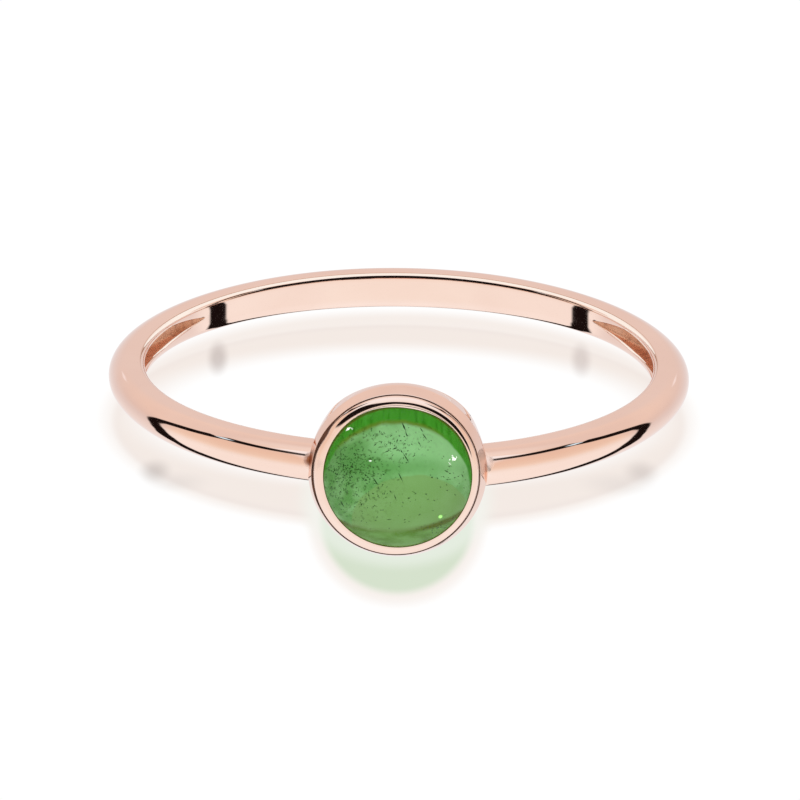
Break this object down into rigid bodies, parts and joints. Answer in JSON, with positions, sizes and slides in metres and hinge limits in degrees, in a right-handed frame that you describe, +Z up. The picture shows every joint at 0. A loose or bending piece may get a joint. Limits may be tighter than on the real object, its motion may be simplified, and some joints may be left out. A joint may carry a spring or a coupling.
{
  "type": "cabochon ring",
  "caption": "Finger ring with a slim domed band and a round smooth bezel cup that holds a domed green cabochon, lying on its side.",
  "frame": {"origin": "on the surface that the ring lies on, under the middle of its bounding box", "axes": "+Z up; the stone faces -Y, tipped up by about 7 degrees as the ring rests; +X to the right, seen from the stone's side"},
  "size_m": [0.0196, 0.0204, 0.0059],
  "materials": {
    "rose_gold": "polished rose gold",
    "green_tourmaline": "polished, with fine dark inclusions"
  },
  "bodies": {
    "root": {"band_and_bezel": "rose_gold", "cabochon": "green_tourmaline"}
  },
  "joints": []
}
